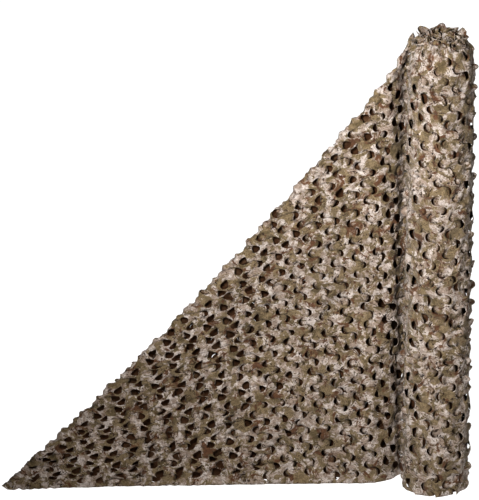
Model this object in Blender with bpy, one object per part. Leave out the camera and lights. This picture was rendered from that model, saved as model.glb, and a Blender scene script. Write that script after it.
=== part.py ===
"""A roll of leaf-cut camouflage netting, standing on one end with its loose end pulled out.

Metres, +Z up. The origin is the centre of the roll's base. The loose end runs towards -X,
its lower selvedge on the floor, and is folded back on itself along the slope from the top of
the roll down to the tip on the floor.

Flat cloth coordinates: "along" is the distance from the seam where the cloth leaves the roll,
and "up" is the height above the lower selvedge.
"""

import math
import random

import bmesh
import bpy
from mathutils import Vector
from mathutils.geometry import delaunay_2d_cdt

# The roll.
ROLL_LENGTH = 1.5
ROLL_RADIUS = 0.103  # of the outermost turn, at the seam
TURN_STEP = 0.008  # how far one turn lies above the turn below it
SEAM_ANGLE = math.radians(140)  # where the outermost turn leaves the roll, from +X
ROLL_COLUMNS = 40  # points round the roll, ten leaves of LEAF_COLUMNS
ROLL_LEVELS = 52  # steps up the roll, 26 rows of LEAF_LEVELS
LEAF_RISE = 0.010  # how far the middle of a leaf stands off the roll
LEAF_SPREAD = 0.003  # how much that differs from leaf to leaf
LEAF_COLUMNS = 4
LEAF_LEVELS = 2
LEAF_LEAN = 2  # rows after which the leaves have moved one column on
LEAF_SHARES = {  # share of the rise at (column, level) of a leaf
    (1, 0): 0.30,
    (0, 1): 0.35,
    (1, 1): 1.00,
    (2, 1): 0.75,
}
SMOOTH_COLUMNS = 2  # columns beside the seam that lie under the departing cloth
BODY_WAVE = 0.002  # slow unevenness of the wound body
RIM_DROP = 0.010  # the outermost turn's edge lies this much lower than the roll's top
TURN_GROOVE = 0.014  # depth of the spiral groove in the top end
GROOVE_RINGS = 5

# The loose end.
REACH = 1.270  # of the lower selvedge, from the seam to the tip
HEIGHT = 1.475  # of the fold at the seam
SAG = 0.22  # how much the fold hangs below a straight slope
CLOTH_THICKNESS = 0.003
SEAT_GAP = 0.0003
START_HEADING = math.radians(50)  # the cloth leaves the roll's surface along its tangent
HEADING_LENGTH = 0.077  # over which it turns to run along -X
TIP_FORWARD = 0.040  # how far the tip lies in front of the roll's axis
RIPPLE = 0.007  # depth of the broad folds, and how many lie between the floor and the fold
RIPPLE_COUNT = 2.6
FOLD_RADIUS_TIP = 0.004  # of the turned-over edge, half the distance between the two layers
FOLD_RADIUS_MIDDLE = 0.0105
FOLD_RADIUS_ROLL = 0.008
FLAP_END = 0.030  # the flap behind stops this far from the seam
FLAP_LIFT = 0.020  # height of the flap's corner above the floor

# The cut pattern: S-shaped cuts on a skewed grid.
CELL_WIDTH = 0.062
CELL_HEIGHT = 0.064
ROW_SKEW = math.radians(6)  # the rows fall away from the roll
COLUMN_LEAN = math.radians(8)
GATHER_ROLL = 0.95  # share of the cell's height that is left at the roll
GATHER_STEADY = 0.14  # how much of it goes evenly on the way to the tip
GATHER_LATE = 0.36  # how much goes close to the tip
GAP_LENGTH = 0.050
GAP_WIDTH = 0.036
GAP_SLANT = math.radians(20)  # the end nearer the roll is the lower one
GAP_CORNERS = (  # shares of half the length and half the width, round an S-shaped opening
    (1.00, 0.10),
    (0.68, 0.95),
    (0.22, 0.45),
    (-0.70, 0.55),
    (-1.00, -0.10),
    (-0.68, -0.95),
    (-0.22, -0.45),
    (0.70, -0.55),
)
CLOSED_GAP = 0.36  # share of the gap's width left where the cloth is slack, by the roll
GAP_MARGIN = 0.008  # cloth left between a gap and any edge

# Mesh steps.
EDGE_STEP = 0.055
FOLD_STEP = 0.045
PLAN_STEP = 0.001
SEED = 7


def clear_scene():
    for thing in list(bpy.data.objects):
        bpy.data.objects.remove(thing)


def net_material():
    """Matt printed polyester cloth."""
    material = bpy.data.materials.new("printed_cloth")
    material.use_nodes = True
    shader = material.node_tree.nodes["Principled BSDF"]
    shader.inputs["Base Color"].default_value = (0.24, 0.18, 0.13, 1)
    shader.inputs["Roughness"].default_value = 0.85
    shader.inputs["Metallic"].default_value = 0
    return material


def new_object(name, mesh_builder, material):
    mesh = bpy.data.meshes.new(name)
    mesh_builder.normal_update()
    mesh_builder.to_mesh(mesh)
    mesh_builder.free()
    mesh.materials.append(material)
    thing = bpy.data.objects.new(name, mesh)
    bpy.context.scene.collection.objects.link(thing)
    return thing


def smooth_step(low, high, value):
    share = min(1.0, max(0.0, (value - low) / (high - low)))
    return share * share * (3 - 2 * share)


# ---- The roll ----


def turn_radius(column):
    """The outermost turn's spiral: lowest just past the seam, full a whole turn later."""
    return ROLL_RADIUS - TURN_STEP * (1 - column / ROLL_COLUMNS)


def leaf_relief(column, level, chance):
    """Height of the leaf at a point of the roll's grid."""
    beside_seam = column <= SMOOTH_COLUMNS or column >= ROLL_COLUMNS - SMOOTH_COLUMNS
    if beside_seam or level in (0, ROLL_LEVELS):
        return 0.0
    row = level // LEAF_LEVELS
    spot = ((column + row // LEAF_LEAN) % LEAF_COLUMNS, level % LEAF_LEVELS)
    return LEAF_RISE * LEAF_SHARES.get(spot, 0.0) + LEAF_SPREAD * chance.uniform(-1, 1)


def roll_ring(level, chance):
    """The points of one level, from the seam once round and back to it."""
    height = (ROLL_LENGTH - RIM_DROP) * level / ROLL_LEVELS
    ring = []
    for column in range(ROLL_COLUMNS + 1):
        angle = SEAM_ANGLE + math.tau * column / ROLL_COLUMNS
        wave = BODY_WAVE * math.sin(2 * angle + 5 * height) * math.sin(math.pi * column / ROLL_COLUMNS)
        radius = turn_radius(column) + wave + leaf_relief(column, level, chance)
        ring.append(Vector((radius * math.cos(angle), radius * math.sin(angle), height)))
    return ring


def groove_ring(step):
    """One ring of the top end, higher and lower as the wound turns pass under it."""
    share = 1 - step / (GROOVE_RINGS + 1)
    ring = []
    for column in range(ROLL_COLUMNS + 1):
        angle = SEAM_ANGLE + math.tau * column / ROLL_COLUMNS
        turn = step / 2 + column / ROLL_COLUMNS
        height = ROLL_LENGTH - TURN_GROOVE * (0.5 - 0.5 * math.cos(math.tau * turn))
        radius = share * turn_radius(column)
        ring.append(Vector((radius * math.cos(angle), radius * math.sin(angle), height)))
    return ring


def build_roll(material):
    chance = random.Random(SEED)
    builder = bmesh.new()
    rings = [roll_ring(level, chance) for level in range(ROLL_LEVELS + 1)]
    rings += [groove_ring(step) for step in range(1, GROOVE_RINGS + 1)]
    vertices = [[builder.verts.new(point) for point in ring] for ring in rings]
    around = ROLL_COLUMNS + 1
    for lower, upper in zip(vertices, vertices[1:]):
        for here in range(around):
            after = (here + 1) % around
            builder.faces.new((lower[here], lower[after], upper[after], upper[here]))
    for ring, height, turned in ((vertices[0], 0.0, True), (vertices[-1], ROLL_LENGTH, False)):
        centre = builder.verts.new((0, 0, height))
        for here in range(around):
            pair = (ring[here], ring[(here + 1) % around])
            builder.faces.new((centre, *(reversed(pair) if turned else pair)))
    bmesh.ops.triangulate(builder, faces=builder.faces[:])
    return new_object("net_roll", builder, material)


# ---- The loose end: where a point of the flat cloth lies ----


def plan_track():
    """Points (x, y, heading) along the front layer, seen from above, PLAN_STEP apart."""
    radius = ROLL_RADIUS - TURN_STEP / 2
    x = radius * math.cos(SEAM_ANGLE)
    y = radius * math.sin(SEAM_ANGLE)
    track = []
    for step in range(int(REACH / PLAN_STEP) + 2):
        along = step * PLAN_STEP
        heading = START_HEADING * math.exp(-along / HEADING_LENGTH)
        heading += 2 * TIP_FORWARD * along / REACH**2
        track.append((x, y, heading))
        x -= PLAN_STEP * math.cos(heading)
        y -= PLAN_STEP * math.sin(heading)
    return track


PLAN = plan_track()
SLOPE_NORMAL = Vector((1 / REACH, 1 / HEIGHT)).normalized()  # out of the front, across the fold
FOLD_TOP = Vector((0, HEIGHT))


def beyond_fold(along, up):
    """Distance past the fold line, positive on the flap."""
    return (Vector((along, up)) - FOLD_TOP).dot(SLOPE_NORMAL)


def fold_radius(along):
    """Radius of the turned-over edge where the fold line is that far from the roll."""
    share = min(1.0, max(0.0, along / REACH))
    end = FOLD_RADIUS_ROLL + (FOLD_RADIUS_TIP - FOLD_RADIUS_ROLL) * share
    return end + (FOLD_RADIUS_MIDDLE - end) * math.sin(math.pi * share)


def folded(along, up):
    """(along, up) of a flat point after folding, and how far behind the front layer it is."""
    past = beyond_fold(along, up)
    foot = Vector((along, up)) - past * SLOPE_NORMAL
    radius = fold_radius(foot.x)
    turn = min(abs(past) / radius, math.pi / 2)
    below = radius * (math.pi / 2 - math.cos(turn)) + max(0.0, abs(past) - radius * math.pi / 2)
    place = foot - below * SLOPE_NORMAL
    return place.x, place.y, radius * (1 + math.copysign(math.sin(turn), past))


def unfolded(along, up):
    """The flat point of the flap that lies behind a point of the front layer."""
    return Vector((along, up)) - 2 * beyond_fold(along, up) * SLOPE_NORMAL


def place(along, up):
    """The cloth's middle surface in the part's frame."""
    along, up, behind = folded(along, up)
    exact = min(max(along, SEAT_GAP) / PLAN_STEP, len(PLAN) - 1.001)
    step = int(exact)
    x, y, heading = (
        PLAN[step][axis] + (PLAN[step + 1][axis] - PLAN[step][axis]) * (exact - step)
        for axis in range(3)
    )
    across = up / HEIGHT + 0.4 * along / REACH
    fade = smooth_step(0.0, 0.3, along) * (1 - smooth_step(0.75, 1.0, along / REACH))
    behind += RIPPLE * fade * math.sin(math.tau * RIPPLE_COUNT * across) * smooth_step(0, 0.2, up)
    height = max(0.0, up * (1 - SAG * along / REACH / HEIGHT))
    return Vector((x - behind * math.sin(heading), y + behind * math.cos(heading), height))


def facing(along, up):
    """Unit normal of the middle surface, towards the viewer on the front layer."""
    step = PLAN_STEP
    over = place(along + step, up) - place(along - step, up)
    rise = place(along, up + step) - place(along, up - step)
    normal = rise.cross(over)
    if up <= 0:
        normal.z = 0
    return normal.normalized()


# ---- The cut pattern ----


def gather(along):
    """Share of the cell's height that is left, smaller towards the tip."""
    share = along / REACH
    return GATHER_ROLL - GATHER_STEADY * share - GATHER_LATE * share**3


def cell_centre(column, row):
    """The flat point at the middle of a cell."""
    along = column * CELL_WIDTH + row * CELL_HEIGHT * math.tan(COLUMN_LEAN)
    up = (row * CELL_HEIGHT - column * CELL_WIDTH * math.tan(ROW_SKEW)) * gather(along)
    return along, up


def gap_outline(along, up):
    """A slanted gap round a cell's middle, narrow where the cloth is slack."""
    squeeze = gather(along)
    opened = CLOSED_GAP + (1 - CLOSED_GAP) * smooth_step(0.10, 0.42, along)
    half_length = GAP_LENGTH / 2
    half_width = GAP_WIDTH / 2 * opened
    corners = []
    for length_share, width_share in GAP_CORNERS:
        over = half_length * length_share
        rise = half_width * width_share
        corners.append(
            Vector(
                (
                    along + over * math.cos(GAP_SLANT) - rise * math.sin(GAP_SLANT),
                    up + (over * math.sin(GAP_SLANT) + rise * math.cos(GAP_SLANT)) * squeeze,
                )
            )
        )
    return corners


# ---- The loose end: its cut outline, gaps and mesh ----


def stepped(corners, step):
    """The outline with its long sides divided."""
    points = []
    for start, end in zip(corners, corners[1:] + corners[:1]):
        count = max(1, round((end - start).length / step))
        points += [start.lerp(end, index / count) for index in range(count)]
    return points


def inside_by(point, outline):
    """Distance inside the outline, negative outside it."""
    nearest = math.inf
    crossings = 0
    for start, end in zip(outline, outline[1:] + outline[:1]):
        side = end - start
        share = min(1.0, max(0.0, (point - start).dot(side) / side.length_squared))
        nearest = min(nearest, (point - start - share * side).length)
        if (start.y > point.y) != (end.y > point.y):
            crossings += point.x < start.x + side.x * (point.y - start.y) / side.y
    return nearest if crossings % 2 else -nearest


def cut_outline():
    """The flat cut: the front triangle, and the flap that folds behind it."""
    flap_top = HEIGHT * (1 - FLAP_END / REACH)
    return [
        Vector((SEAT_GAP, 0)),
        Vector((REACH, 0)),
        unfolded(FLAP_END, FLAP_LIFT),
        Vector((FLAP_END, flap_top)),
        Vector((SEAT_GAP, HEIGHT * (1 - SEAT_GAP / REACH))),
    ]


def pattern(outline):
    """The gaps, and the middles of the cells that stay uncut.

    The front layer has every gap, and the flap behind has one in six.
    """
    gaps, uncut = [], []
    for column in range(-8, 30):
        for row in range(0, 62):
            along, up = cell_centre(column, row)
            if inside_by(Vector((along, up)), outline) < GAP_MARGIN:
                continue
            past = beyond_fold(along, up)
            foot = Vector((along, up)) - past * SLOPE_NORMAL
            turned = fold_radius(foot.x) * math.pi / 2 + GAP_MARGIN
            corners = gap_outline(along, up)
            clear = all(
                inside_by(corner, outline) > GAP_MARGIN and abs(beyond_fold(*corner)) > turned
                for corner in corners
            )
            wanted = past < 0 or (column % 3 == 0 and row % 2 == 0)
            if clear and wanted:
                gaps.append(corners)
            elif abs(past) > turned and (past < 0 or (column + row) % 2 == 0):
                uncut.append(Vector((along, up)))
    return gaps, uncut


def fold_lines(outline):
    """Points along the turned-over edge: the fold and two lines on each side of it."""
    lines = []
    for quarter in (-2, -1, 0, 1, 2):
        line = []
        for step in range(1, int(math.hypot(REACH, HEIGHT) / FOLD_STEP)):
            foot = FOLD_TOP.lerp(Vector((REACH, 0)), step * FOLD_STEP / math.hypot(REACH, HEIGHT))
            point = foot + fold_radius(foot.x) * quarter * math.pi / 4 * SLOPE_NORMAL
            if inside_by(point, outline) > GAP_MARGIN / 2:
                line.append(point)
        lines.append(line)
    return lines


def flat_mesh():
    """Points and triangles of the flat cut, with the gaps left out."""
    cut = cut_outline()
    outline = stepped(cut, EDGE_STEP)
    gaps, uncut = pattern(cut)
    points = list(outline)
    shapes = [list(range(len(outline)))]
    for gap in gaps:
        shapes.append(list(range(len(points), len(points) + len(gap))))
        points += gap
    edges = []
    for line in fold_lines(cut):
        edges += [(len(points) + index, len(points) + index + 1) for index in range(len(line) - 1)]
        points += line
    points += uncut
    made, _, triangles, _, _, shape_of = delaunay_2d_cdt(points, edges, shapes, 1, 1e-7)
    kept = [tri for tri, shape in zip(triangles, shape_of) if list(shape) == [0]]
    return made, kept


def build_loose_end(material):
    """Two skins a cloth's thickness apart, joined round the outline and round every gap."""
    points, triangles = flat_mesh()
    used = sorted({index for triangle in triangles for index in triangle})
    builder = bmesh.new()
    skins = []
    for side in (0.5, -0.5):
        offset = side * CLOTH_THICKNESS
        skins.append({i: builder.verts.new(place(*points[i]) + offset * facing(*points[i])) for i in used})
    front, back = skins
    sides = set()
    for triangle in triangles:
        a, b, c = triangle
        builder.faces.new((front[a], front[c], front[b]))
        builder.faces.new((back[a], back[b], back[c]))
        for pair in ((a, b), (b, c), (c, a)):
            sides ^= {pair} if (pair[1], pair[0]) not in sides else {(pair[1], pair[0])}
    for a, b in sorted(sides):
        builder.faces.new((front[a], front[b], back[b], back[a]))
    bmesh.ops.triangulate(builder, faces=[face for face in builder.faces if len(face.verts) > 3])
    return new_object("net_loose_end", builder, material)


def main():
    clear_scene()
    material = net_material()
    build_roll(material)
    build_loose_end(material)


main()
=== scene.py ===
"""Looks for a standing roll of leaf-cut camouflage netting with its loose end pulled out."""

import math
import random

import bmesh
import bpy
import numpy as np
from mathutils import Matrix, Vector, kdtree
from mathutils.geometry import delaunay_2d_cdt


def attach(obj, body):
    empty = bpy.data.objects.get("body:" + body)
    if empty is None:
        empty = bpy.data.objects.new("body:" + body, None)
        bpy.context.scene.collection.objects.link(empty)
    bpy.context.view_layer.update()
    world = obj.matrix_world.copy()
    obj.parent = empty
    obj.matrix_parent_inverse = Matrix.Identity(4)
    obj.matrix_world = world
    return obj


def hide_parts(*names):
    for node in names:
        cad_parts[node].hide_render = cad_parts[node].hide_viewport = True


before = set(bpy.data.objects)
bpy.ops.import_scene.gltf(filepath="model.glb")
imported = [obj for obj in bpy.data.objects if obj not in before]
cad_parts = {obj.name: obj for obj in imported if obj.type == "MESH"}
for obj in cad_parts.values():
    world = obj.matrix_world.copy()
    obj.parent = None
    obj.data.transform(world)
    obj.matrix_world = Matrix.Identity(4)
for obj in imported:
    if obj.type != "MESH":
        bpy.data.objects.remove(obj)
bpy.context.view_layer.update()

# A flat place on the cloth is (along, up). Along is 0 at the seam, where the loose end leaves the
# roll. Above 0 it runs to the loose end's tip, below 0 inwards along the roll's turns.
# Lengths are in metres, and angles in degrees only where math.radians is applied to them.

# ---- The roll, with the solids' sizes ----
ROLL_LENGTH = 1.5
ROLL_RADIUS = 0.103
TURN_STEP = 0.008  # from each turn to the next one in
CORE_RADIUS = 0.012  # where the winding ends
SEAM_ANGLE = math.radians(140)
RIM_DROP = 0.010  # how far the cloth's edge lies below the roll's top, before the leaves stand up
ROLL_TOP = ROLL_LENGTH - RIM_DROP
SEAM_EASE = 0.04  # over which the outer turn comes out by half a step, inwards from the seam
SLACK = 0.004  # how much further in the inner turns lie than a tight winding has them
SLACK_FROM, SLACK_TO = 0.06, 0.03  # where the slack sets in, before and after the outer turn's end
SPIRAL_STEP = 0.01  # radians from each row of the spiral's table to the next

# ---- The loose end, with the solids' sizes but for its flap ----
REACH = 1.270  # along the floor, from the seam to the tip
HEIGHT = 1.475  # up the seam
SAG = 0.22  # how much lower than HEIGHT the net would stand at the tip, which bows the slope down
START_HEADING = math.radians(50)  # the sheet's turn in plan where it leaves the roll
HEADING_LENGTH = 0.077  # over which that turn dies away
TIP_FORWARD = 0.040  # how far the tip comes forward
RIPPLE = 0.007  # depth of the broad folds
RIPPLE_COUNT = 2.6  # how many of them lie between the floor and the fold
RIPPLE_LEAN = 0.4  # how far they fall on the way to the tip, as a share of HEIGHT
RIPPLE_IN, RIPPLE_UP = 0.3, 0.2  # over which they set in, from the seam and from the floor
RIPPLE_OUT = 0.75  # the share of the reach from which they die away
FOLD_RADII = (0.008, 0.0105, 0.004)  # at the roll, the middle and the tip
FLAP_TUCK = 0.010  # how near the seam the flap ends, 20 mm nearer than the solid's
FLAP_LIFT = 0.004  # its corner's height above the floor, 16 mm lower than the solid's
PLAN_STEP = 0.001
PLAN_SPARE = 60  # steps of the plan beyond the tip

# ---- The rows and columns of cuts ----
CELL_WIDTH = 0.062
CELL_HEIGHT = 0.064
ROW_SKEW = math.radians(6)
COLUMN_LEAN = math.radians(8)
GATHER_ROLL = 0.95  # share of the cell's height that is left at the roll
GATHER_STEADY, GATHER_LATE = 0.14, 0.36  # how much goes evenly on the way to the tip, and late
FLAP_GATHER = 0.9
LOOSE_COLUMNS, LOOSE_ROWS = (-8, 34), (-2, 50)
ROLL_COLUMNS, ROLL_ROWS = (-80, 4), (-12, 50)
SIDE_ROOM, END_ROOM = 0.03, 0.02  # how far off the cloth a cut's middle may lie, along and up
EDGE_ROOM = 0.004  # how near a cut comes to the lower edge, where only its upper leaf may fit
PAST_FOLD = 0.026  # how far past the fold the front's cuts go
FLAP_FROM = 0.062  # how far past the fold the flap's cuts begin
FLAP_SEAM_ROOM = 0.1  # how near the seam their middles come
FLAP_FLOOR = 0.008  # how near the floor they come

# ---- How far the cuts are pulled open, from 0 to 1 ----
ROLL_PULL = 0.55
# The flap's cuts are shut, and so are those nearer than this to the fold, the seam and the tip.
NO_PULL_FOLD, NO_PULL_SEAM, NO_PULL_TIP = -0.002, 0.022, 0.04
NO_PULL_CORNER = (0.14, -0.04)  # in the top corner those this near the seam and the fold
LEAST_PULL, MORE_PULL = 0.30, 0.70  # of any other cut, and what its place adds at most
FOLD_PULL, FOLD_PULL_BAND, FOLD_PULL_SEAM = 0.75, (-0.27, -0.10), (0.02, 0.2)  # towards the fold
OUTER_PULL_BAND = (0.33, 0.60)  # towards the tip
SEAM_PULL, SEAM_PULL_BAND = 0.9, (0.09, 0.14)  # towards the seam
FLOOR_PULL, ABOVE_FLOOR_PULL, FLOOR_BAND = 0.8, 0.2, (0.01, 0.03)
LEAST_OPEN, OPEN_SPREAD = 0.02, 0.06  # the least in the end, and how much it varies by chance

# ---- The cut leaves ----
LEAF_RADIUS = 0.0152
RADIUS_RANGE = (0.93, 1.05)
LEAF_ACROSS, LEAF_UP = 0.0088, 0.0142  # from the middle of the S to the middle of each leaf
# The cut runs anticlockwise round the upper leaf, from the first of these angles to the second.
ARC_START, ARC_END = math.radians(90), math.radians(-62)
STRETCHED_START, STRETCHED_END = math.radians(58), math.radians(-86)
ARC_STEPS = 9
LEAF_ROWS = (  # a leaf's inner points: how far out along it, and where across it
    (0.0, (-0.45, 0.45)),
    (0.25, (-0.75, 0, 0.75)),
    (0.52, (-0.6, 0, 0.6)),
    (0.78, (-0.3, 0.3)),
)
LEAF_INSET = 0.9  # how near those points come to the leaf's cut edge
ROLL_LEAVES = 1.08  # how much larger the cuts are on the roll
SEAM_LEAVES, SEAM_ZONE = 1.14, 0.09  # and on the loose end this near the seam
TURN_MEAN, TURN_SPREAD = -3, 7  # degrees that a cut is turned
STRETCHED_TURN, EDGEWISE_TURN = 20, 8  # and more where the net is stretched, and by the fold
EDGEWISE_BAND = (-0.14, -0.02)
STRETCHED_PULL, STRETCHED_SPAN = 0.35, 0.65  # the pull from which the net stretches
STRETCHED_FROM = 0.14  # how far from the seam that begins
STRETCHED_WIDTH = 0.56  # how much wider a fully stretched cut is

# Degrees that a leaf bends at its neck and along itself, the share of leaves that lift outwards,
# and the leaf's size against its hole.
BENDS = {
    "closed": ((1, 4), (0, 6), 1.0, 1.05),
    "fold": ((5, 17), (5, 35), 0.75, 0.98),
    "lifted": ((26, 58), (0, 18), 1.0, 1.0),
    "sunk": ((6, 24), (8, 42), 0.0, 0.97),
    "eased": ((12, 30), (34, 78), 0.1, 0.93),
    "drawn": ((16, 45), (50, 110), 0.15, 0.9),
    "open": ((62, 100), (20, 70), 0.1, 0.9),
}
BOWS = {"drawn": (0.1, 0.5), "open": (0.0, 0.25)}  # how the line that a leaf bends along is bowed
OTHER_BOWS = (-0.2, 0.3)
BOW_BACK = 0.003  # the most that it bows towards the leaf's root
MOST_CUP = 0.35
TWIST_SPREAD = 0.18
HINGE_LENGTH = 0.004  # over which a leaf turns at its neck
FREED_LENGTH = 0.006  # over which its cup and twist set in
BEND_STEPS = 40
LIP = 0.0075  # how far the cloth round a leaf rises the other way
LIP_LEAST, LIP_MORE = 0.5, 0.5  # its share at any open cut, and what the pull adds
LIP_SHARE, LIP_FADE = 0.7, 0.008  # how it sets in along the leaf, and fades out beyond it
LEAF_SEARCH, LIP_SEARCH = 1.05, 2.1  # in leaf radii
ROLL_ROOM = 0.010  # how far a leaf of the roll can sink before it meets the turn below
FOLD_ROOM = 1.7  # how far one of the loose end can sink, in fold radii
PAINTED_LEAF_SHADE_OUT, PAINTED_LEAF_SHADE_FAR = (0.05, 0.5), (0.25, 0.95)  # a leaf's painted shade sets in this far out from its root, and from its middle, on
PAINTED_LEAF_SHADE_LIFTED = 0.35  # how much of that a leaf has that lifts outwards

# Which way each leaf goes. The loose end's are shut where lower or nearer the seam than this.
CLOSED_UP, CLOSED_ALONG = 0.022, 0.042
ROLL_SIDES = {0.25: -1, 0.57: 1}  # where the outer turn faces sideways, and the leaf that stands up
SIDE_BAND = 0.055
SIDE_LIFTED, ROLL_LIFTED = 0.85, 0.3  # chances that it does there, and any leaf elsewhere
FOLD_BAND = 0.019  # how far in front of the fold the leaves only just stand up
BENT_GAIN, BENT_LESS = 1.15, 0.2  # the chance that a leaf is more than eased, by its cut's pull
OPEN_GAIN, OPEN_LESS = 0.95, 0.27  # the chance that it then opens right out

# ---- The mesh ----
STEP = 0.0105  # spacing of the cloth's points between the cuts
ROW_SHARE, BETWEEN_SHARE = 0.87, 0.29  # of that step, between rows and to the points between them
JITTER = 0.1
BORDER_STEP = 0.012
COARSE = 3  # how many steps apart the hidden cloth's points are
DENSE_BAND = 0.035  # how near the fold the cloth has points between its rows
POINT_ROOM = 0.0046
JOIN_DISTANCE = 1e-6
INSIDE_ONLY = 1  # the kind of output that keeps to the outline
SCRAP_FACES = 400  # a cut-off part with fewer faces is dropped
CLOTH_THICKNESS = 0.0008
ABOVE_FLOOR = 0.0006  # the least height of any point
NORMAL_STEP = 0.002
TINY = 1e-12  # keeps a length that is divided by above 0

# ---- The cloth's own relief ----
SWELL_LENGTH, SWELL = 0.11, 0.0022
CREASE_LENGTH, CREASE, TIP_CREASE = 0.03, 0.0015, 0.002
LUMP_LENGTH, FOLD_LUMP, TIP_LUMP = 0.042, 0.0065, 0.012  # the lumps along the fold
FREE_BAND, LIFTED_BAND = (-0.02, 0.15), (0.0, 0.02)  # where the cloth is free of the roll and floor
TIP_BAND = (0.82, 0.93)  # of the reach
LUMP_WIDTH = 0.022  # how far from the fold its lumps go
CALM_WIDTH, CALM = 0.013, 0.85  # at the fold itself the leaves and creases are flattened
FOLD_BEAD = 0.011  # the most that the cloth stands out from the fold
VALLEY, VALLEY_MIDDLE, VALLEY_WIDTH = 0.019, 0.028, 0.031  # the dip in the corner beside the roll
VALLEY_START = 0.014  # over which the dip sets in from the seam
SWELLING, SWELLING_MIDDLE, SWELLING_WIDTH = 0.006, 0.14, 0.045  # and the swelling next to it
FOLD_FADE = 0.05  # over which both fade out at the fold
HEM, FREE_HEM, HEM_HEIGHT = 0.004, 0.008, 0.014  # how the lower edge turns out

# ---- The roll's crushed top ----
END_FOLD = 0.045  # how much of each wound turn is crushed over
DRAWN_IN, DRAWN_BELOW, DRAWN_ABOVE = 0.17, 0.11, 0.02  # the turns draw in towards the top
BEND_LENGTH, BEND, BEND_UP = 0.10, 0.8, 0.3  # angles here are in radians, below 0 inwards
LEAN_LENGTH, LEAN = 0.05, 0.4
OUTER_BAND = (-0.05, 0.1)  # about the outer turn's end
OUTER_CALM, OUTER_BEND = 0.65, 1.25  # the outer turn bends more evenly, and inwards
BEND_RANGE, LEAST_BEND = (-1.9, 1.2), 0.05
END_WAVE = 0.004
BAND = 0.09  # how far down the inner turns are modelled
BAND_CUTS = 0.07  # and how far down they are cut
FOOT_BAND = 0.02  # how far up from the roll's foot they are modelled
TURN_ROOM = 0.03  # how far past a turn's end what holds for that turn goes
PRINT_DEPTH = 0.05  # how far down the inner turns show their print; below it their faces take the dark brown painted shade

WAVE_COUNT, WAVE_SIZES = 7, (0.6, 1.7)
SEED = 11
SEED_COLUMN, SEED_ROW = 1009, 7919

rng = np.random.default_rng(SEED)


def smooth_step(low, high, value):
    share = np.clip((value - low) / (high - low), 0.0, 1.0)
    return share * share * (3 - 2 * share)


def rise_over(band, value):
    return float(smooth_step(*band, value))


def bell(value, middle, width):
    return np.exp(-(((value - middle) / width) ** 2))


class Waves:
    """A slow, uneven wave over the cloth, from a few crossed ripples."""

    def __init__(self, length):
        turns = rng.uniform(0, math.tau, WAVE_COUNT)
        sizes = math.tau / (length * rng.uniform(*WAVE_SIZES, WAVE_COUNT))
        self.kx, self.ky = sizes * np.cos(turns), sizes * np.sin(turns)
        self.phase = rng.uniform(0, math.tau, WAVE_COUNT)

    def at(self, x, y):
        terms = np.sin(np.multiply.outer(x, self.kx) + np.multiply.outer(y, self.ky) + self.phase)
        return terms.sum(axis=-1) / math.sqrt(WAVE_COUNT / 2)


# ---- Where the flat cloth lies ----
SLOPE_NORMAL = np.array([1 / REACH, 1 / HEIGHT])
SLOPE_NORMAL /= np.linalg.norm(SLOPE_NORMAL)


def plan_track():
    """The loose end's foot in plan: along, x, y and heading."""
    radius = ROLL_RADIUS - TURN_STEP / 2
    x, y = radius * math.cos(SEAM_ANGLE), radius * math.sin(SEAM_ANGLE)
    track = []
    for step in range(int(REACH / PLAN_STEP) + PLAN_SPARE):
        along = step * PLAN_STEP
        heading = START_HEADING * math.exp(-along / HEADING_LENGTH)
        heading += 2 * TIP_FORWARD * along / REACH**2
        track.append((along, x, y, heading))
        x -= PLAN_STEP * math.cos(heading)
        y -= PLAN_STEP * math.sin(heading)
    return np.array(track).T


PLAN = plan_track()


def beyond_fold(along, up):
    """How far past the fold a place is. It is below 0 on the front and above 0 on the flap."""
    return along * SLOPE_NORMAL[0] + (up - HEIGHT) * SLOPE_NORMAL[1]


def unfolded(along, up):
    """The place as far on the fold's other side."""
    past = beyond_fold(along, up)
    return along - 2 * past * SLOPE_NORMAL[0], up - 2 * past * SLOPE_NORMAL[1]


def fold_radius(along):
    share = np.clip(along / REACH, 0, 1)
    end = FOLD_RADII[0] + (FOLD_RADII[2] - FOLD_RADII[0]) * share
    return end + (FOLD_RADII[1] - end) * np.sin(math.pi * share)


def folded(along, up):
    past = beyond_fold(along, up)
    foot = along - past * SLOPE_NORMAL[0], up - past * SLOPE_NORMAL[1]
    radius = fold_radius(foot[0])
    quarter = math.pi / 2
    turn = np.minimum(np.abs(past) / radius, quarter)
    below = radius * (quarter - np.cos(turn)) + np.maximum(0, np.abs(past) - radius * quarter)
    behind = radius * (1 + np.copysign(np.sin(turn), past))
    return foot[0] - below * SLOPE_NORMAL[0], foot[1] - below * SLOPE_NORMAL[1], behind


def place_loose(along, up):
    along, up, behind = folded(along, up)
    x, y, heading = (np.interp(along, PLAN[0], PLAN[row]) for row in (1, 2, 3))
    across = up / HEIGHT + RIPPLE_LEAN * along / REACH
    fade = smooth_step(0.0, RIPPLE_IN, along) * (1 - smooth_step(RIPPLE_OUT, 1.0, along / REACH))
    ripple = RIPPLE * fade * np.sin(math.tau * RIPPLE_COUNT * across)
    behind = behind + ripple * smooth_step(0, RIPPLE_UP, up)
    height = up * (1 - SAG * along / REACH / HEIGHT)
    return np.stack([x - behind * np.sin(heading), y + behind * np.cos(heading), height], axis=-1)


def spiral_tables():
    """Angle and radius of the wound cloth by its length from the seam."""
    length, angle, radius = 0.0, SEAM_ANGLE + math.tau, ROLL_RADIUS
    rows = []
    while radius > CORE_RADIUS:
        rows.append((length, angle, radius))
        angle -= SPIRAL_STEP
        length += radius * SPIRAL_STEP
        radius = ROLL_RADIUS - TURN_STEP * (SEAM_ANGLE + math.tau - angle) / math.tau
    return np.array(rows).T


SPIRAL = spiral_tables()


def length_of_turns(turns):
    angle = SEAM_ANGLE - (turns - 1) * math.tau
    return float(np.interp(angle, SPIRAL[1][::-1], SPIRAL[0][::-1]))


ONE_TURN, TWO_TURNS, THREE_TURNS = (length_of_turns(turns) for turns in (1, 2, 3))
ALL_TURNS = float(SPIRAL[0][-1])


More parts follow.
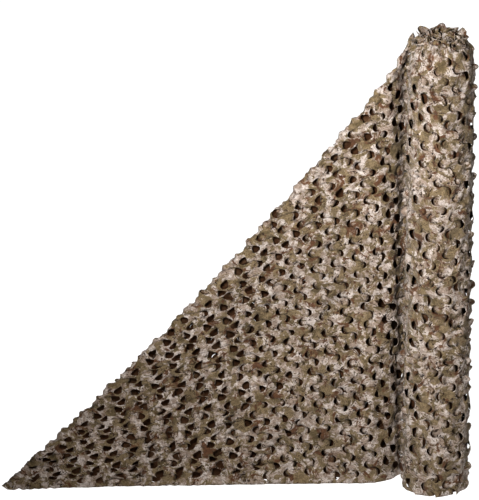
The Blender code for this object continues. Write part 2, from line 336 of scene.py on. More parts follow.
def place_roll(along, up):
    inward = -along
    angle = np.interp(inward, SPIRAL[0], SPIRAL[1])
    radius = np.interp(inward, SPIRAL[0], SPIRAL[2])
    radius = radius - TURN_STEP / 2 * np.exp(-inward / SEAM_EASE)
    radius = radius - SLACK * smooth_step(ONE_TURN - SLACK_FROM, ONE_TURN + SLACK_TO, inward)
    return np.stack([radius * np.cos(angle), radius * np.sin(angle), up], axis=-1)


def place(along, up):
    loose = place_loose(np.maximum(along, 0), up)
    wound = place_roll(np.minimum(along, 0), up)
    return np.where((along >= 0)[:, None], loose, wound)


def facing(along, up):
    """Unit normals of the cloth, towards the viewer on the front layer and outwards on the roll."""
    over = place(along - NORMAL_STEP, up) - place(along + NORMAL_STEP, up)
    rise = place(along, up + NORMAL_STEP) - place(along, up - NORMAL_STEP)
    normal = np.cross(over, rise) * np.where(along < 0, -1, 1)[:, None]
    return normal / np.linalg.norm(normal, axis=1)[:, None]


# ---- The S-shaped cuts ----
def gather(along):
    share = max(along, 0.0) / REACH
    return GATHER_ROLL - GATHER_STEADY * share - GATHER_LATE * share**3


def pull(along, up):
    """How far a cut is pulled open: most beside the roll, by the fold and towards the tip."""
    if along < 0:
        return ROLL_PULL
    past = beyond_fold(along, up)
    in_corner = along < NO_PULL_CORNER[0] and past > NO_PULL_CORNER[1]
    if past > NO_PULL_FOLD or along < NO_PULL_SEAM or in_corner or along > REACH - NO_PULL_TIP:
        return 0.0
    by_fold = FOLD_PULL * rise_over(FOLD_PULL_BAND, past) * rise_over(FOLD_PULL_SEAM, along)
    outwards = rise_over(OUTER_PULL_BAND, along)
    by_seam = SEAM_PULL * (1 - rise_over(SEAM_PULL_BAND, along))
    pulled = LEAST_PULL + MORE_PULL * max(by_fold, outwards, by_seam)
    return pulled * (FLOOR_PULL + ABOVE_FLOOR_PULL * rise_over(FLOOR_BAND, up))


class Leaf:
    """How one leaf is bent: about its neck, then along itself."""

    def __init__(self, chance, kind):
        necks, curls, outward_share, self.spread = BENDS[kind]
        self.hinge = math.radians(chance.uniform(*necks))
        self.curl = math.radians(chance.uniform(*curls))
        self.outward = 1 if chance.random() < outward_share else -1
        self.bow = chance.uniform(*BOWS.get(kind, OTHER_BOWS))
        self.cup = chance.uniform(0.0, MOST_CUP)
        self.twist = chance.gauss(0, TWIST_SPREAD)

    def bend(self, out, side, radius, length):
        """How far out, how far across and how high the leaf's points come to lie."""
        out, side = np.maximum(out, 0) * self.spread, side * self.spread
        flush = np.clip(self.bow * side**2 / radius, -BOW_BACK, out)
        fine = np.linspace(0, length * self.spread, BEND_STEPS)
        angle = self.hinge * np.minimum(1, fine / HINGE_LENGTH) + self.curl * fine / length
        run, lift = (
            np.concatenate([[0], np.cumsum((wave[1:] + wave[:-1]) / 2)])
            for wave in (np.cos(angle), np.sin(angle))
        )
        new_out = flush + np.interp(out - flush, fine, run * fine[1])
        rise = np.interp(out - flush, fine, lift * fine[1])
        freed = np.minimum(1, out / FREED_LENGTH)
        rise += (self.twist * side - self.cup * np.abs(side)) * freed
        return new_out, side, self.outward * rise


class Cut:
    """One S-shaped cut. Its two leaves, 1 and -1, lie left-up and right-down of its middle.

    Local points (x, y) are metres to the right and up, before the cloth is gathered.
    """

    def __init__(self, column, row, along, up, squeeze):
        self.along, self.up = along, up
        self.squeeze = squeeze
        chance = random.Random(SEED + SEED_COLUMN * column + SEED_ROW * row)
        self.open_share = pull(along, up)
        if self.open_share:
            drawn_share = self.open_share + chance.gauss(0, OPEN_SPREAD)
            self.open_share = min(1.0, max(LEAST_OPEN, drawn_share))
        drawn = self.open_share if along > 0 else 0.0
        edgewise = rise_over(EDGEWISE_BAND, beyond_fold(along, up)) * (drawn > 0)
        stretched = 0.0
        if along > STRETCHED_FROM:
            stretched = max(0.0, drawn - STRETCHED_PULL) / STRETCHED_SPAN
        turn = chance.gauss(TURN_MEAN, TURN_SPREAD)
        self.turn = math.radians(turn + STRETCHED_TURN * stretched + EDGEWISE_TURN * edgewise)
        self.size = ROLL_LEAVES if along < 0 else SEAM_LEAVES if along < SEAM_ZONE else 1.0
        self.wide = 1 + STRETCHED_WIDTH * stretched
        self.hand = -1 if along < 0 else 1
        self.radius = LEAF_RADIUS * chance.uniform(*RADIUS_RANGE)
        self.first = ARC_START + (STRETCHED_START - ARC_START) * stretched
        self.last = ARC_END + (STRETCHED_END - ARC_END) * stretched
        self.reach = self.radius * math.cos((self.first - self.last) / 2)
        self.length = self.radius + self.reach
        middle = (self.first + self.last) / 2 + math.pi
        self.toward = math.cos(middle), math.sin(middle)
        self.leaves = {sign: Leaf(chance, self.kind(chance, sign)) for sign in (1, -1)}

    def kind(self, chance, sign):
        along, up = self.leaf_middle(sign)
        if self.open_share == 0 or (self.along > 0 and (up < CLOSED_UP or along < CLOSED_ALONG)):
            return "closed"
        if self.along < 0:
            for side, standing in ROLL_SIDES.items():
                if abs(self.along + side) < SIDE_BAND:
                    lifted = sign == standing and chance.random() < SIDE_LIFTED
                    return "lifted" if lifted else "sunk"
            return "lifted" if chance.random() < ROLL_LIFTED else "sunk"
        if beyond_fold(along, up) > -FOLD_BAND:
            return "fold"
        if self.along < SEAM_ZONE:
            return "open"
        if chance.random() > BENT_GAIN * self.open_share - BENT_LESS:
            return "eased"
        return "open" if chance.random() < OPEN_GAIN * self.open_share - OPEN_LESS else "drawn"

    def to_flat(self, x, y):
        cos, sin = math.cos(self.turn), math.sin(self.turn)
        x, y = x * self.wide * self.size, y * self.size
        along = self.along - (x * cos - y * sin) * self.hand
        return along, self.up + (x * sin + y * cos) * self.squeeze

    def to_local(self, along, up):
        cos, sin = math.cos(self.turn), math.sin(self.turn)
        x = -(along - self.along) / self.size * self.hand
        y = (up - self.up) / self.squeeze / self.size
        return (x * cos + y * sin) / self.wide, -x * sin + y * cos

    def leaf_middle(self, sign):
        return self.to_flat(-LEAF_ACROSS * sign, LEAF_UP * sign)

    def on_leaf(self, sign, along, up):
        """How far flat places are out from a leaf's root, across it, and from its middle."""
        x, y = self.to_local(along, up)
        x, y = sign * x + LEAF_ACROSS, sign * y - LEAF_UP
        out = x * self.toward[0] + y * self.toward[1] + self.reach
        return out, -x * self.toward[1] + y * self.toward[0], np.hypot(x, y)

    def leaf_spot(self, far, side):
        """The upper leaf's local point, far out from its middle and to its side."""
        x = -LEAF_ACROSS + far * self.toward[0] - side * self.toward[1]
        return x, LEAF_UP + far * self.toward[1] + side * self.toward[0]

    def chain(self):
        """Points along the cut, from the upper leaf's root round it, then round the lower leaf."""
        half = []
        sweep = (self.last - self.first) % math.tau
        for step in range(ARC_STEPS + 1):
            angle = self.first + sweep * step / ARC_STEPS
            x = -LEAF_ACROSS + self.radius * math.cos(angle)
            half.append((x, LEAF_UP + self.radius * math.sin(angle)))
        points = half + [(-x, -y) for x, y in reversed(half)] if -1 in self.leaves else half
        return [self.to_flat(x, y) for x, y in points]

    def leaf_points(self):
        """Inner points of the leaves, for their bending."""
        points = []
        for out, sides in LEAF_ROWS:
            far = out * self.length - self.reach
            for side in sides:
                wide = side * math.sqrt(max(self.radius**2 - far**2, 0)) * LEAF_INSET
                x, y = self.leaf_spot(far, wide)
                points += [(sign * x, sign * y) for sign in self.leaves]
        return [self.to_flat(x, y) for x, y in points]


def lattice(columns, rows, squeeze_at=gather):
    for column in range(*columns):
        for row in range(*rows):
            along = column * CELL_WIDTH + row * CELL_HEIGHT * math.tan(COLUMN_LEAN)
            squeeze = squeeze_at(along)
            up = row * CELL_HEIGHT - abs(column) * CELL_WIDTH * math.tan(ROW_SKEW)
            yield column, row, along, up * squeeze, squeeze


# ---- The flat net ----
def inside(point, outline):
    crossings = 0
    for start, end in zip(outline, outline[1:] + outline[:1]):
        if (start[1] > point[1]) != (end[1] > point[1]):
            share = (end[0] - start[0]) * (point[1] - start[1]) / (end[1] - start[1])
            crossings += point[0] < start[0] + share
    return crossings % 2 == 1


def border_points(outline):
    points = []
    for start, end in zip(outline, outline[1:] + outline[:1]):
        start, end = np.array(start), np.array(end)
        count = max(1, round(float(np.linalg.norm(end - start)) / BORDER_STEP))
        points += [tuple(start + (end - start) * index / count) for index in range(count)]
    return points


def tree_of(points):
    tree = kdtree.KDTree(len(points))
    for index, point in enumerate(points):
        tree.insert((point[0], point[1], 0), index)
    tree.balance()
    return tree


def near_in(tree, middle, distance):
    return np.array([index for _, index, _ in tree.find_range((*middle, 0), distance)], int)


def filling_points(outline, taken, hidden):
    """Points for the cloth between the cuts, clear of the points already taken."""
    chance = random.Random(SEED)
    near = tree_of(taken)
    low = np.min(np.array(outline), axis=0)
    high = np.max(np.array(outline), axis=0)
    for row in range(int((high[1] - low[1]) / (STEP * ROW_SHARE)) + 1):
        for column in range(2 * int((high[0] - low[0]) / STEP) + 2):
            along = low[0] + (column + row % 2) * STEP / 2 + chance.uniform(-JITTER, JITTER) * STEP
            up = low[1] + row * STEP * ROW_SHARE + chance.uniform(-JITTER, JITTER) * STEP
            if column % 2:
                up += STEP * BETWEEN_SHARE
                if along < 0 or abs(beyond_fold(along, up)) > DENSE_BAND:
                    continue
            if hidden(along, up) and (row % COARSE or column % (2 * COARSE)):
                continue
            if near.find((along, up, 0))[2] > POINT_ROOM and inside((along, up), outline):
                yield along, up


def flat_net(outline, cuts, hidden):
    """Points, triangles and cut edges of the flat net inside the outline."""
    border = border_points(outline)
    points = list(border)
    edges = []
    for cut in cuts:
        chain = cut.chain()
        edges += [(len(points) + i, len(points) + i + 1) for i in range(len(chain) - 1)]
        points += chain
        points += [point for point in cut.leaf_points() if inside(point, outline)]
    points += list(filling_points(outline, points, hidden))
    made, made_edges, triangles, _, from_edges, _ = delaunay_2d_cdt(
        [Vector(point) for point in points],
        edges,
        [list(range(len(border)))],
        INSIDE_ONLY,
        JOIN_DISTANCE,
    )
    cut_edges = {
        tuple(sorted(edge))
        for edge, source in zip(made_edges, from_edges)
        if any(index < len(edges) for index in source)
    }
    return np.array([tuple(point) for point in made]), triangles, cut_edges


def islands(faces):
    """The groups of faces that hang together."""
    seen = set()
    for face in faces:
        if face in seen:
            continue
        island, queue = [], [face]
        seen.add(face)
        while queue:
            here = queue.pop()
            island.append(here)
            for edge in here.edges:
                for other in edge.link_faces:
                    if other not in seen:
                        seen.add(other)
                        queue.append(other)
        yield island


def opened(points, triangles, cut_edges):
    """Splits the flat net along its cuts, and drops any scrap that this frees."""
    builder = bmesh.new()
    vertices = [builder.verts.new((x, y, 0)) for x, y in points]
    for a, b, c in triangles:
        builder.faces.new((vertices[a], vertices[b], vertices[c]))
    builder.verts.index_update()
    doomed = [
        edge
        for edge in builder.edges
        if tuple(sorted((edge.verts[0].index, edge.verts[1].index))) in cut_edges
    ]
    bmesh.ops.split_edges(builder, edges=doomed)
    scraps = []
    for island in islands(builder.faces):
        if len(island) < SCRAP_FACES:
            scraps += island
    bmesh.ops.delete(builder, geom=scraps, context="FACES")
    loose = [vertex for vertex in builder.verts if not vertex.link_faces]
    bmesh.ops.delete(builder, geom=loose, context="VERTS")
    builder.verts.index_update()
    flat = np.array([vertex.co.to_tuple()[:2] for vertex in builder.verts])
    faces = np.array([[vertex.index for vertex in face.verts] for face in builder.faces])
    builder.free()
    return flat, faces


# ---- The net in space ----
def room_behind(along, up):
    """How far a leaf can sink before it meets the cloth behind it."""
    foot = along - beyond_fold(along, up) * SLOPE_NORMAL[0]
    return np.where(along < 0, ROLL_ROOM, FOLD_ROOM * fold_radius(foot))


def bend_leaves(flat, faces, cuts):
    """Flat places and heights off the cloth, once each leaf is bent about its root.

    Also gives each point's painted shade share, darkening a leaf towards its free edge, less if it
    lifts.
    """
    moved = flat.copy()
    height = np.zeros(len(flat))
    painted_leaf_shade = np.zeros(len(flat))
    centres = flat[faces].mean(axis=1)
    face_tree = tree_of(centres)
    point_tree = tree_of(flat)
    for cut in cuts:
        lip = LIP * (LIP_LEAST + LIP_MORE * cut.open_share) * (cut.open_share > 0)
        for sign, leaf in cut.leaves.items():
            middle = cut.leaf_middle(sign)
            close = near_in(face_tree, middle, cut.radius * LEAF_SEARCH * cut.wide)
            if not len(close):
                continue
            out, _, far = cut.on_leaf(sign, *centres[close].T)
            mine = np.unique(faces[close[(far < cut.radius) & (out > 0)]])
            if len(mine):
                out, side, far = cut.on_leaf(sign, *flat[mine].T)
                # Painted shade on the leaf towards its free edge, less where the leaf lifts
                # outwards.
                free = smooth_step(*PAINTED_LEAF_SHADE_OUT, out / cut.length)
                free *= PAINTED_LEAF_SHADE_LIFTED if leaf.outward > 0 else 1.0
                painted_leaf_shade[mine] = free * smooth_step(*PAINTED_LEAF_SHADE_FAR, far / cut.radius)
                out, side, height[mine] = leaf.bend(out, side, cut.radius, cut.length)
                x, y = cut.leaf_spot(out - cut.reach, side)
                moved[mine, 0], moved[mine, 1] = cut.to_flat(sign * x, sign * y)
            around = near_in(point_tree, middle, cut.radius * LIP_SEARCH * cut.wide)
            around = around[~np.isin(around, mine)]
            if len(around):
                out, _, far = cut.on_leaf(sign, *flat[around].T)
                weight = smooth_step(0.0, cut.length * LIP_SHARE, out)
                weight *= np.exp(-np.maximum(far - cut.radius, 0) / LIP_FADE)
                height[around] -= leaf.outward * lip * weight
    room = room_behind(*flat.T)
    height = np.where(height < 0, room * np.tanh(height / room), height)
    return moved, height, painted_leaf_shade


def add_relief(height, flat):
    """Adds the cloth's own swells, creases and lumps, and its dip and swelling beside the roll."""
    along, up = flat.T
    swell, crease, lump = Waves(SWELL_LENGTH), Waves(CREASE_LENGTH), Waves(LUMP_LENGTH)
    past = beyond_fold(along, up)
    free = smooth_step(*FREE_BAND, along)
    by_fold = bell(past, 0, LUMP_WIDTH) * (along > 0)
    by_tip = smooth_step(*TIP_BAND, along / REACH)
    height += free * SWELL * swell.at(along, up) * smooth_step(*LIFTED_BAND, up)
    height += (CREASE + TIP_CREASE * by_tip) * crease.at(along, up)
    height *= 1 - CALM * bell(past, 0, CALM_WIDTH)
    height += by_fold * (FOLD_LUMP * lump.at(along, up) + TIP_LUMP * by_tip)
    on_front = along - 2 * np.maximum(past, 0) * SLOPE_NORMAL[0]
    valley = bell(on_front, VALLEY_MIDDLE, VALLEY_WIDTH) * smooth_step(0.0, VALLEY_START, on_front)
    valley *= smooth_step(0.0, FOLD_FADE, np.abs(past)) * -np.sign(past)
    swelling = bell(along, SWELLING_MIDDLE, SWELLING_WIDTH) * smooth_step(0.0, FOLD_FADE, -past)
    height += SWELLING * swelling - VALLEY * valley
    height += (HEM + FREE_HEM * free) * np.exp(-up / HEM_HEIGHT)
    height += by_fold * (FOLD_BEAD * np.tanh(height / FOLD_BEAD) - height)


def net_mesh(outline, cuts, hidden=lambda along, up: False):
    """Flat places, triangles, places in space and painted leaf shade shares of the net."""
    flat, faces = opened(*flat_net(outline, cuts, hidden))
    moved, height, painted_leaf_shade = bend_leaves(flat, faces, cuts)
    add_relief(height, flat)
    spots = place(*moved.T) + height[:, None] * facing(*moved.T)
    return flat, faces, spots, painted_leaf_shade


def crush_end(flat, spots):
    """Draws the wound turns in at the roll's top and crushes their edges over each other."""
    along, up = flat.T
    drawn_in = smooth_step(ROLL_TOP - DRAWN_BELOW, ROLL_TOP + DRAWN_ABOVE, up)
    spots[:, :2] *= (1 - DRAWN_IN * drawn_in)[:, None]
    reach = np.maximum(0, up - (ROLL_TOP - END_FOLD))
    bend, lean = Waves(BEND_LENGTH), Waves(LEAN_LENGTH)
    angle = BEND * bend.at(along, BEND_UP * up) + LEAN * lean.at(along, up)
    outermost = smooth_step(*(edge - ONE_TURN for edge in OUTER_BAND), along)
    angle = angle * (1 - OUTER_CALM * outermost) - OUTER_BEND * outermost
    angle = np.clip(angle, *BEND_RANGE)
    angle = np.where(np.abs(angle) < LEAST_BEND, LEAST_BEND, angle)
    turned = angle * reach / END_FOLD
    radial = spots[:, :2] / np.maximum(np.linalg.norm(spots[:, :2], axis=1), TINY)[:, None]
    spots[:, :2] += radial * (END_FOLD / angle * (1 - np.cos(turned)))[:, None]
    spots[:, 2] += END_FOLD / angle * np.sin(turned) - reach
    spots[:, 2] += END_WAVE * lean.at(up, along) * reach / END_FOLD


def point_normals(spots, faces):
    a, b, c = (spots[faces[:, corner]] for corner in range(3))
    across = np.cross(b - a, c - a)
    normals = np.zeros_like(spots)
    for corner in range(3):
        np.add.at(normals, faces[:, corner], across)
    return normals / np.maximum(np.linalg.norm(normals, axis=1), TINY)[:, None]


def rim_edges(faces):
    """The edges that only one triangle has, in that triangle's direction."""
    pairs = np.concatenate([faces[:, (0, 1)], faces[:, (1, 2)], faces[:, (2, 0)]])
    key = np.sort(pairs, axis=1)
    _, first, count = np.unique(key, axis=0, return_index=True, return_counts=True)
    return pairs[first[count == 1]]


def new_piece(name, net, back, shaded, node):
    """The printed face, the back behind it, and the cut edges that join them.

    Back and shaded are places in CLOTH: what the back has, and what each triangle's face has.
    """
    flat, faces, spots, painted_leaf_shade = net
    normals = point_normals(spots, faces)
    if (normals * facing(*flat.T)).sum() < 0:
        faces, normals = faces[:, ::-1], -normals
    count = len(spots)
    both = np.concatenate([spots, spots - CLOTH_THICKNESS * normals])
    both[:, 2] = np.maximum(both[:, 2], ABOVE_FLOOR)
    rims = rim_edges(faces)
    quads = np.column_stack([rims[:, 1], rims[:, 0], rims[:, 0] + count, rims[:, 1] + count])
    mesh = bpy.data.meshes.new(name)
    sides = faces.tolist() + (faces[:, ::-1] + count).tolist()
    mesh.from_pydata(both.tolist(), [], sides + quads.tolist())
    loops = np.zeros(len(mesh.loops), int)
    mesh.loops.foreach_get("vertex_index", loops)
    # A second UV layer carries each point's share of painted leaf shade.
    for label, values in (("cloth", flat), ("painted_leaf_shade", np.column_stack([painted_leaf_shade, painted_leaf_shade]))):
        layer = mesh.uv_layers.new(name=label)
        layer.data.foreach_set("uv", values[loops % count].ravel())
    looks = [*shaded.astype(int), *[back] * len(faces), *[PRINT] * len(quads)]
    mesh.polygons.foreach_set("material_index", looks)
    smooth = [True] * (2 * len(faces)) + [False] * len(quads)
    mesh.polygons.foreach_set("use_smooth", smooth)
    for material in CLOTH:
        mesh.materials.append(material)
    mesh.update()
    thing = bpy.data.objects.new(name, mesh)
    bpy.context.scene.collection.objects.link(thing)
    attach(thing, "root")
    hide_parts(node)
    return thing


# ---- Materials ----
BEIGE, PALE = (0.245, 0.192, 0.155), (0.415, 0.367, 0.336)
KHAKI, OLIVE = (0.158, 0.118, 0.068), (0.098, 0.072, 0.036)
BROWN, TWIG = (0.092, 0.044, 0.021), (0.03, 0.016, 0.009)
# Painted shade: the colour a leaf is darkened towards at its free edge, most where it sinks.
PAINTED_LEAF_SHADE = (0.43, 0.32, 0.23)
# Painted shade: dark brown for the loose end's back, inside the fold and under curled leaves, and
# for the roll's inner turns; worn spots vary it at random.
PAINTED_BACK_SHADE, PAINTED_BACK_SHADE_WORN = (0.058, 0.028, 0.014), (0.085, 0.049, 0.028)
WHITE = (1.0, 1.0, 1.0)

# A pattern of spots is a noise (scale, detail, roughness, distortion, offset) and the two values
# between which the spots set in.
PRINT_LAYERS = (
    (((38, 4, 0.7, 0.4, (3, 1, 0)), (0.44, 0.58)), PALE),
    (((24, 4, 0.7, 0.6, (9, 4, 0)), (0.49, 0.54)), KHAKI),
    (((31, 4, 0.7, 0.5, (1, 8, 0)), (0.54, 0.60)), OLIVE),
    (((26, 4, 0.65, 0.8, (5, 5, 0)), (0.555, 0.625)), BROWN),
)
TWIG_SPOTS = ((95, 3, 0.6, 1.2, (2, 7, 0)), (0.58, 0.63))
TWIG_PATCHES = ((14, 2, 0.5, 0.0, (7, 7, 0)), (0.42, 0.5))
PRINT_SHADES = (
    (((230, 2, 0.7, 0.3, (8, 3, 0)), (0.30, 0.70)), (0.74, 0.72, 0.70), (1.18, 1.18, 1.18)),
    (((85, 3, 0.7, 0.5, (2, 2, 0)), (0.35, 0.65)), (0.78, 0.76, 0.74), (1.15, 1.15, 1.15)),
)
WORN_SPOTS = ((24, 3, 0.6, 0.5, (6, 2, 0)), (0.5, 0.65))
FADED_SPOTS, FADED = ((5, 2, 0.5, 0.0, (4, 2, 0)), (0.3, 0.7)), (0.86, 0.86, 0.86)
CLOTH_ROUGHNESS = 0.82
WEAVE_SCALE, WEAVE_DISTORTION, WEAVE_SHARE = 190.0, 0.6, 0.3
SLUBS = (75, 3, 0.6)  # scale, detail and roughness of the cloth's unevenness
BUMP_STRENGTH, BUMP_DISTANCE = 0.6, 0.003


class Paint:
    """The nodes of one cloth material, laid out in the cloth's own flat coordinates."""

    def __init__(self, name):
        self.material = bpy.data.materials.new(name)
        self.material.use_nodes = True
        self.tree = self.material.node_tree
        self.tree.nodes.clear()
        self.uv = self.node("ShaderNodeUVMap", uv_map="cloth").outputs[0]

    def node(self, kind, **values):
        made = self.tree.nodes.new(kind)
        for key, value in values.items():
            if key in made.inputs:
                made.inputs[key].default_value = value
            else:
                setattr(made, key, value)
        return made

    def link(self, a, b):
        self.tree.links.new(a, b)

    def noise(self, scale, detail, rough, distortion=0.0, offset=(0, 0, 0)):
        shift = self.node("ShaderNodeMapping", Location=offset)
        self.link(self.uv, shift.inputs["Vector"])
        looks = {"Scale": scale, "Detail": detail, "Roughness": rough, "Distortion": distortion}
        made = self.node("ShaderNodeTexNoise", **looks)
        self.link(shift.outputs[0], made.inputs["Vector"])
        return made.outputs[0]

    def spots(self, noise, edges):
        ramp = self.node("ShaderNodeMapRange", interpolation_type="SMOOTHSTEP")
        ramp.inputs["From Min"].default_value, ramp.inputs["From Max"].default_value = edges
        self.link(self.noise(*noise), ramp.inputs["Value"])
        return ramp.outputs[0]

    # The share of painted leaf shade, from its own UV layer.
    def painted_leaf_shade(self):
        layer = self.node("ShaderNodeUVMap", uv_map="painted_leaf_shade").outputs[0]
        parts = self.node("ShaderNodeSeparateXYZ")
        self.link(layer, parts.inputs[0])
        return parts.outputs[0]

    def mix(self, share, first, second, blend="MIX"):
        made = self.node("ShaderNodeMix", data_type="RGBA", blend_type=blend)
        if isinstance(share, float):
            made.inputs["Factor"].default_value = share
        else:
            self.link(share, made.inputs["Factor"])
        for socket, value in ((6, first), (7, second)):
            if isinstance(value, tuple):
                made.inputs[socket].default_value = (*value, 1)
            else:
                self.link(value, made.inputs[socket])
        return made.outputs[2]

    def shade(self, colour, by):
        return self.mix(1.0, colour, by, "MULTIPLY")

    def times(self, a, b):
        made = self.node("ShaderNodeMath", operation="MULTIPLY")
        self.link(a, made.inputs[0])
        self.link(b, made.inputs[1])
        return made.outputs[0]


def printed(paint):
    """The camouflage print, with painted shade on each leaf towards its free cut edge."""
    base = BEIGE
    for spots, colour in PRINT_LAYERS:
        base = paint.mix(paint.spots(*spots), base, colour)
    twigs = paint.times(paint.spots(*TWIG_SPOTS), paint.spots(*TWIG_PATCHES))
    base = paint.mix(twigs, base, TWIG)
    for spots, dark, light in PRINT_SHADES:
        base = paint.shade(base, paint.mix(paint.spots(*spots), dark, light))
    return paint.shade(base, paint.mix(paint.painted_leaf_shade(), WHITE, PAINTED_LEAF_SHADE))


# Dark brown painted shade for the back and the inner turns, with random lighter spots.
def painted_back_shade(paint):
    return paint.mix(paint.spots(*WORN_SPOTS), PAINTED_BACK_SHADE, PAINTED_BACK_SHADE_WORN)


def cloth_material(name, colour, sheen, shine):
    paint = Paint(name)
    shader = paint.node("ShaderNodeBsdfPrincipled", Roughness=CLOTH_ROUGHNESS)
    shader.inputs["Sheen Weight"].default_value = sheen
    shader.inputs["Specular IOR Level"].default_value = shine
    out = paint.node("ShaderNodeOutputMaterial")
    paint.link(shader.outputs[0], out.inputs["Surface"])
    faded = paint.mix(paint.spots(*FADED_SPOTS), FADED, WHITE)
    paint.link(paint.shade(colour(paint), faded), shader.inputs["Base Color"])
    threads = []
    for direction in ("X", "Y"):
        looks = {"Scale": WEAVE_SCALE, "Distortion": WEAVE_DISTORTION}
        wave = paint.node("ShaderNodeTexWave", bands_direction=direction, **looks)
        paint.link(paint.uv, wave.inputs["Vector"])
        threads.append(wave.outputs["Fac"])
    height = paint.node("ShaderNodeMath", operation="MULTIPLY_ADD")
    paint.link(paint.times(*threads), height.inputs[0])
    height.inputs[1].default_value = WEAVE_SHARE
    paint.link(paint.noise(*SLUBS), height.inputs[2])
    bump = paint.node("ShaderNodeBump", Strength=BUMP_STRENGTH, Distance=BUMP_DISTANCE)
    paint.link(height.outputs[0], bump.inputs["Height"])
    paint.link(bump.outputs[0], shader.inputs["Normal"])
    return paint.material


PRINT, DARK = 0, 1  # places in CLOTH; DARK is the dark brown painted shade
CLOTH = [
    cloth_material("printed_net_cloth", printed, 0.08, 0.2),
    cloth_material("net_cloth_painted_shade", painted_back_shade, 0.0, 0.05),
]

# ---- The pieces ----
LOOSE_OUTLINE = [
    (0.0, 0.0),
    (REACH, 0.0),
    tuple(float(value) for value in unfolded(FLAP_TUCK, FLAP_LIFT)),
    (FLAP_TUCK, HEIGHT * (1 - FLAP_TUCK / REACH)),
    (0.0, HEIGHT),
]
ROLL_OUTLINE = [
    (-ALL_TURNS, 0.0),
    (0.0, 0.0),
    (0.0, ROLL_TOP),
    (-ALL_TURNS, ROLL_TOP),
    (-ALL_TURNS, ROLL_TOP - BAND),
    (-THREE_TURNS, ROLL_TOP - BAND),
    (-THREE_TURNS, FOOT_BAND),
    (-ALL_TURNS, FOOT_BAND),
]


def low_point(cut):
    return min(up for _, up in cut.chain())


def front_cuts():
    for cell in lattice(LOOSE_COLUMNS, LOOSE_ROWS):
        along, up = cell[2:4]
        within = -SIDE_ROOM < along < REACH + SIDE_ROOM and up > -END_ROOM
        if within and beyond_fold(along, up) < PAST_FOLD:
            cut = Cut(*cell)
            if low_point(cut) < EDGE_ROOM and along > SEAM_ZONE:
                del cut.leaves[-1]
            if low_point(cut) > EDGE_ROOM:
                yield cut


def on_flap(along, up):
    return inside((along, up), LOOSE_OUTLINE) and unfolded(along, up)[1] > FLAP_FLOOR


def flap_cuts():
    for cell in lattice(LOOSE_COLUMNS, LOOSE_ROWS, lambda along: FLAP_GATHER):
        along, up = cell[2:4]
        clear = beyond_fold(along, up) > FLAP_FROM and unfolded(along, up)[0] >= FLAP_SEAM_ROOM
        if clear and inside((along, up), LOOSE_OUTLINE):
            cut = Cut(*cell)
            if all(on_flap(*point) for point in cut.chain()):
                yield cut


def wound_cuts():
    for cell in lattice(ROLL_COLUMNS, ROLL_ROWS):
        along, up = cell[2:4]
        lowest = -END_ROOM if along > -TWO_TURNS - TURN_ROOM else ROLL_TOP - BAND_CUTS
        if lowest < up < ROLL_TOP + END_ROOM and -ALL_TURNS < along < SIDE_ROOM:
            yield Cut(*cell)


def buried(along, up):
    return along < -TWO_TURNS - TURN_ROOM and up < ROLL_TOP - BAND


loose_net = net_mesh(LOOSE_OUTLINE, [*front_cuts(), *flap_cuts()])
all_printed = np.zeros(len(loose_net[1]))
# Its back takes the dark painted shade, for the shade inside the fold.
loose_end = new_piece("loose_end_net", loose_net, DARK, all_printed, "net_loose_end")

roll_net = net_mesh(ROLL_OUTLINE, list(wound_cuts()), buried)
crush_end(roll_net[0], roll_net[2])
# Below PRINT_DEPTH the inner turns' faces take the dark painted shade, for the shadow between the
# turns.
middle_along, middle_up = roll_net[0][roll_net[1]].mean(axis=1).T
shaded = (middle_along < -ONE_TURN - TURN_ROOM) & (middle_up < ROLL_TOP - PRINT_DEPTH)
new_piece("roll_net", roll_net, PRINT, shaded, "net_roll")

# ---- Stage ----
FLOOR_HALF = 30  # half of the floor's side
FLOOR_GREY, FLOOR_GLOW = 0.25, 0.86
AIR_COLOUR, AIR_STRENGTH = (1, 0.92, 0.85, 1), 0.10

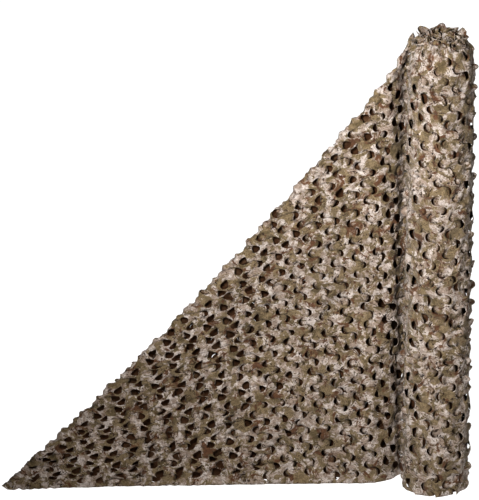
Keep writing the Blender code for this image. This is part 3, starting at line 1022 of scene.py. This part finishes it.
corners = [(x * FLOOR_HALF, y * FLOOR_HALF, 0) for x, y in ((-1, -1), (1, -1), (1, 1), (-1, 1))]
floor_mesh = bpy.data.meshes.new("floor")
floor_mesh.from_pydata(corners, [], [(0, 1, 2, 3)])
floor = bpy.data.objects.new("floor", floor_mesh)
bpy.context.scene.collection.objects.link(floor)
floor_material = bpy.data.materials.new("floor_paper")
floor_material.use_nodes = True
floor_sockets = floor_material.node_tree.nodes["Principled BSDF"].inputs
floor_sockets["Base Color"].default_value = (FLOOR_GREY, FLOOR_GREY, FLOOR_GREY, 1)
floor_sockets["Roughness"].default_value = 1.0
floor_sockets["Specular IOR Level"].default_value = 0.0
floor_sockets["Emission Color"].default_value = (1, 1, 1, 1)
floor_sockets["Emission Strength"].default_value = FLOOR_GLOW
floor_mesh.materials.append(floor_material)

world = bpy.data.worlds.new("studio")
bpy.context.scene.world = world
world.use_nodes = True
air = world.node_tree.nodes["Background"].inputs
air["Color"].default_value = AIR_COLOUR
air["Strength"].default_value = AIR_STRENGTH


def aimed(name, data, direction, spot=(0, 0, 0)):
    """Puts a light or camera at the spot, looking in the direction."""
    thing = bpy.data.objects.new(name, data)
    thing.location = spot
    thing.rotation_euler = direction.to_track_quat("-Z", "Y").to_euler()
    bpy.context.scene.collection.objects.link(thing)
    return thing


KEY_SPOT, KEY_TARGET = Vector((-1.2, -2.85, 2.9)), Vector((-0.02, 0, 0.97))
key = bpy.data.lights.new("key", "AREA")
key.spread = math.radians(52)
key.size = 0.8
key.energy = 22.4
aimed("key", key, KEY_TARGET - KEY_SPOT, KEY_SPOT)

WINDOW_DIRECTION = Vector((0.40, 0.60, -0.69))
sun = bpy.data.lights.new("window", "SUN")
sun.energy = 0.18
sun.angle = math.radians(9)
aimed("window", sun, WINDOW_DIRECTION)

# ---- Camera ----
ELEVATION = math.radians(24.4)
DISTANCE = 18.0
PIXELS_PER_METRE = 329.5
PICTURE_HEIGHT = 500
SENSOR = 36  # millimetres, for the picture's longer side
VIEW_MIDDLE = Vector((-0.6024, 0, 0.787))
back = Vector((0, -math.cos(ELEVATION), math.sin(ELEVATION)))
camera_data = bpy.data.cameras.new("camera")
camera_data.sensor_width = SENSOR
camera_data.lens = PIXELS_PER_METRE * SENSOR / PICTURE_HEIGHT * DISTANCE
camera_data.clip_end = 100
bpy.context.scene.camera = aimed("camera", camera_data, -back, VIEW_MIDDLE + DISTANCE * back)
bpy.context.scene.view_settings.view_transform = "Standard"
bpy.context.scene.view_settings.look = "Medium High Contrast"
